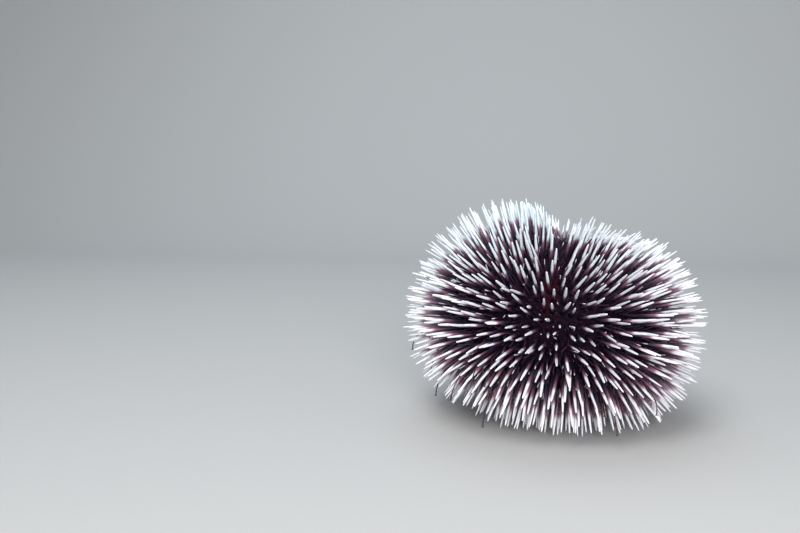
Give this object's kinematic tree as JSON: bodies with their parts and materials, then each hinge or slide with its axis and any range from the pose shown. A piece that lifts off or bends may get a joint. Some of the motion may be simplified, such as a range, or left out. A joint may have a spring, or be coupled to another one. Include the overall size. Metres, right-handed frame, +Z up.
{
  "type": "sea urchin",
  "caption": "Still, life-size violet sea urchin: a round domed shell under an even coat of straight, blunt, white-tipped spines that part round the crown, with the mouth and teeth beneath.",
  "frame": {"origin": "on the floor, under the middle of the animal's box", "axes": "+Z up; -Y is the side that faces the viewer in the reference view, +X is that viewer's right"},
  "size_m": [0.1438, 0.1432, 0.1048],
  "materials": {
    "spines": "dark plum shafts with white tips, satin",
    "crown_plates": "thin dull skin over bare plates",
    "mouth_membrane": "soft, moist and leathery",
    "teeth": "smooth ivory"
  },
  "bodies": {
    "root": {"interambulacrum_1": "spines", "interambulacrum_2": "spines", "interambulacrum_3": "spines", "interambulacrum_4": "spines", "interambulacrum_5": "spines", "ambulacrum_1": "spines", "ambulacrum_2": "spines", "ambulacrum_3": "spines", "ambulacrum_4": "spines", "ambulacrum_5": "spines", "apical_disc": "crown_plates", "peristome": "mouth_membrane", "lantern_teeth": "teeth"}
  },
  "joints": []
}
